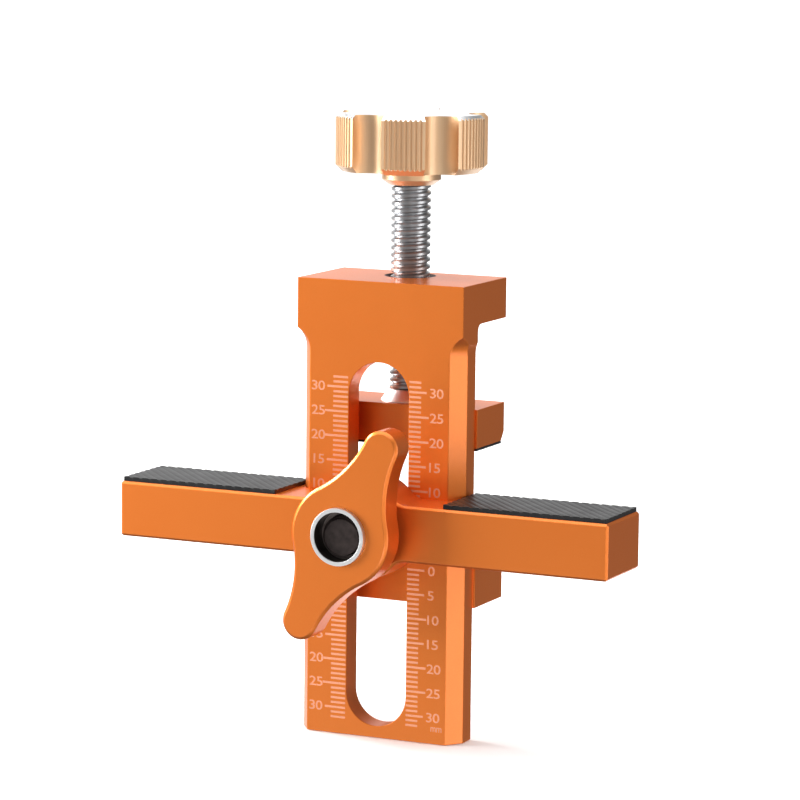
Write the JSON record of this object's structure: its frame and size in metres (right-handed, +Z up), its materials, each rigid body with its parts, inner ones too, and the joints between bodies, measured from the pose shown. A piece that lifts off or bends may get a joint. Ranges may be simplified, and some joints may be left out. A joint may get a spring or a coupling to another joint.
{
  "type": "cabinet hardware jig",
  "caption": "Slotted metal plate jig with a screw clamp behind it and a sliding cross bar with a round boss and rubber pads, locked by a wing knob, in front.",
  "frame": {"origin": "middle of the plate's bottom face, halfway through the plate's thickness", "axes": "+Z up the plate towards the star knob, +X along the cross bar to its right seen from the front, -Y towards the side with the scales and the wing knob"},
  "size_m": [0.1076, 0.0489, 0.1261],
  "materials": {
    "orange_anodised": "bright orange anodised, fine satin",
    "rubber": "matt black, finely ribbed",
    "steel": "turned bright steel",
    "polished_steel": "polished",
    "black_steel": "black oxide",
    "champagne_anodised": "champagne anodised, turned"
  },
  "bodies": {
    "jig": {"jig_body": "orange_anodised"},
    "bar": {"cross_bar": "orange_anodised", "left_pad": "rubber", "right_pad": "rubber", "t_nut": "steel", "stud": "black_steel"},
    "washer": {"bar_washer": "steel"},
    "wing": {"wing_knob": "orange_anodised", "knob_bush": "polished_steel"},
    "jaw": {"moving_jaw": "orange_anodised", "jaw_pad": "rubber"},
    "screw": {"clamp_screw": "steel", "swivel_collar": "polished_steel", "retaining_ring": "steel", "star_knob": "champagne_anodised"}
  },
  "joints": [
    {"name": "bar_slide", "type": "slide", "parent": "jig", "child": "bar", "axis": [0, 0, 1], "range_m": [-0.0352, 0.0258]},
    {"name": "knob_back_off", "type": "slide", "parent": "bar", "child": "washer", "axis": [0, -1, 0], "range_m": [0, 0.00125]},
    {"name": "wing_turn", "type": "hinge", "parent": "washer", "child": "wing", "pos_m": [0, -0.018, 0.0443], "axis": [0, -1, 0], "range_deg": [0, 360]},
    {"name": "clamp_slide", "type": "slide", "parent": "jig", "child": "jaw", "axis": [0, 0, 1], "range_m": [-0.01835, 0.0146]},
    {"name": "screw_turn", "type": "hinge", "parent": "jaw", "child": "screw", "pos_m": [0, 0.01075, 0.07], "axis": [0, 0, 1], "range_deg": [-4405, 3505]}
  ],
  "couplings": [
    {"joint": "wing_turn", "follows": "knob_back_off", "rad_per_m": 5026.5},
    {"joint": "screw_turn", "follows": "clamp_slide", "rad_per_m": 4188.8}
  ]
}
